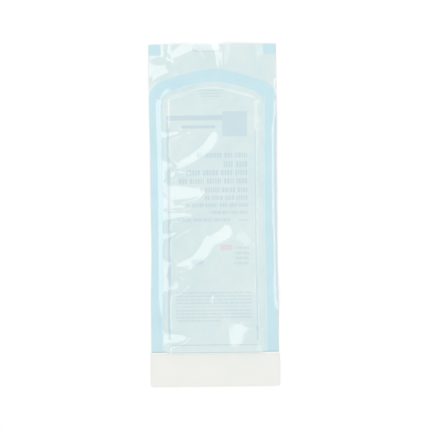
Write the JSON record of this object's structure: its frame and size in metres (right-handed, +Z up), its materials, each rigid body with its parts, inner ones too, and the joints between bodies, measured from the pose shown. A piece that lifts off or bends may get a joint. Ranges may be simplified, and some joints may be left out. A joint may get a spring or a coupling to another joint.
{
  "type": "sterilization pouch",
  "caption": "Self-sealing sterilization pouch: white paper heat-sealed to clear blue-tinted film, with chevron peel tabs, thumb notch, closure flap and peel-off liner.",
  "frame": {"origin": "on the resting plane, under the middle of the pouch's length and width", "axes": "+X across the pouch, +Y along it towards the peel tabs, +Z up out of the film side"},
  "size_m": [0.09, 0.24, 0.0078],
  "materials": {
    "medical_paper": "matt",
    "clear_film": "glossy",
    "heat_seal": "satin",
    "pressure_adhesive": "satin",
    "coated_liner_paper": "satin",
    "steam_ink": "matt",
    "gas_ink": "matt"
  },
  "bodies": {
    "pouch": {"paper_back": "medical_paper", "window_film": "clear_film", "seal_left": "heat_seal", "seal_right": "heat_seal", "seal_arch": "heat_seal", "steam_indicator": "steam_ink", "gas_indicator": "gas_ink"},
    "flap": {"closure_flap": "medical_paper", "adhesive_strip": "pressure_adhesive"},
    "liner": {"release_liner": "coated_liner_paper"},
    "film_tab": {"film_peel_tab": "clear_film", "corner_seal_left": "heat_seal", "corner_seal_right": "heat_seal"},
    "paper_tab": {"paper_peel_tab": "medical_paper"}
  },
  "joints": [
    {"name": "flap_fold", "type": "hinge", "parent": "pouch", "child": "flap", "pos_m": [0, -0.0971, 0.00035], "axis": [-1, 0, 0], "range_deg": [0, 180], "deforming": ["window_film"]},
    {"name": "liner_pull", "type": "slide", "parent": "flap", "child": "liner", "axis": [1, 0, 0], "range_m": [0, 0.095]},
    {"name": "film_tab_bend", "type": "hinge", "parent": "pouch", "child": "film_tab", "pos_m": [0, 0.10275, 0.00028], "axis": [1, 0, 0], "range_deg": [0, 150]},
    {"name": "paper_tab_bend", "type": "hinge", "parent": "pouch", "child": "paper_tab", "pos_m": [0, 0.10275, -0.0002], "axis": [-1, 0, 0], "range_deg": [0, 150]}
  ]
}
